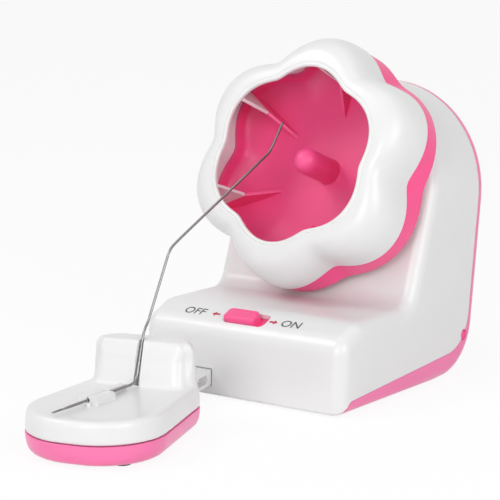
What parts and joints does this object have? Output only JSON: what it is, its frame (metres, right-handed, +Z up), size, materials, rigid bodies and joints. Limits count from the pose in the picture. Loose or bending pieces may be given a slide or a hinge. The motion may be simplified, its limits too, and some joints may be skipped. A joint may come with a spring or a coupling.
{
  "type": "electric bead spinner",
  "caption": "Battery-driven bead spinner: a tilted flower-shaped bowl turns on an L-shaped housing with a slide switch, and a linked foot holds a bent beading needle in it.",
  "frame": {"origin": "on the table, in the middle of the whole object's bounding box", "axes": "+X to the right of someone facing the bowl, +Y from the needle foot to the back, +Z up"},
  "size_m": [0.1056, 0.2442, 0.1498],
  "materials": {
    "white_shell": "satin gloss moulded plastic",
    "pink_shell": "satin gloss moulded plastic",
    "deep_pink": "satin gloss moulded plastic",
    "rubber": "matte",
    "steel": "plain zinc-plated steel",
    "needle_steel": "drawn wire",
    "brass": "turned",
    "dark_plastic": "moulded",
    "nylon": "moulded",
    "cell": "plain sleeve",
    "board": "lacquered board"
  },
  "bodies": {
    "housing": {"front_shell": "white_shell", "rear_cover": "pink_shell", "rubber_feet": "rubber", "cover_screws": "steel", "battery_tray": "dark_plastic", "tray_screws": "steel", "battery_cells": "cell", "contact_springs": "steel", "contact_plates": "steel", "battery_door": "pink_shell", "door_screw": "steel", "gear_plate": "nylon", "gear_plate_screws": "steel", "front_bush": "brass", "rear_bush": "brass", "motor_can": "steel", "motor_end_cap": "dark_plastic", "motor_screws": "steel", "idler_pins": "steel", "switch_body": "steel", "switch_board": "board", "switch_screws": "steel"},
    "spinner": {"bowl_shaft": "steel", "output_gear": "nylon", "shaft_clip": "steel", "bowl": "deep_pink", "bowl_rim": "white_shell"},
    "second_gear": {"gear_b": "nylon"},
    "first_gear": {"gear_a": "nylon"},
    "rotor": {"motor_shaft": "steel", "motor_pinion": "brass"},
    "switch": {"switch_slider": "deep_pink", "switch_lever": "dark_plastic"},
    "foot": {"foot_shell": "white_shell", "foot_base": "pink_shell", "foot_screws": "steel", "foot_pads": "rubber", "link_arm": "white_shell", "needle_clip_front": "white_shell", "needle_clip_rear": "white_shell"},
    "needle": {"needle": "needle_steel"}
  },
  "joints": [
    {"name": "bowl_spin", "type": "hinge", "parent": "housing", "child": "spinner", "pos_m": [0, 0.06984, 0.0893], "axis": [0, -0.9397, 0.342], "continuous": true},
    {"name": "second_gear_spin", "type": "hinge", "parent": "housing", "child": "second_gear", "pos_m": [0.009, 0.06574, 0.07802], "axis": [0, -0.9397, 0.342], "continuous": true},
    {"name": "first_gear_spin", "type": "hinge", "parent": "housing", "child": "first_gear", "pos_m": [-0.003, 0.06266, 0.06957], "axis": [0, -0.9397, 0.342], "continuous": true},
    {"name": "rotor_spin", "type": "hinge", "parent": "housing", "child": "rotor", "pos_m": [0.006, 0.05856, 0.05829], "axis": [0, -0.9397, 0.342], "continuous": true},
    {"name": "switch_slide", "type": "slide", "parent": "housing", "child": "switch", "axis": [1, 0, 0], "range_m": [0, 0.005]},
    {"name": "foot_slide", "type": "slide", "parent": "housing", "child": "foot", "axis": [0.2334, -0.9724, 0], "range_m": [0, 0.02]},
    {"name": "needle_lift", "type": "slide", "parent": "foot", "child": "needle", "axis": [0, 0, 1], "range_m": [0, 0.01]}
  ],
  "couplings": [
    {"joint": "second_gear_spin", "follows": "bowl_spin", "ratio": -4},
    {"joint": "first_gear_spin", "follows": "bowl_spin", "ratio": 16},
    {"joint": "rotor_spin", "follows": "bowl_spin", "ratio": -64}
  ]
}
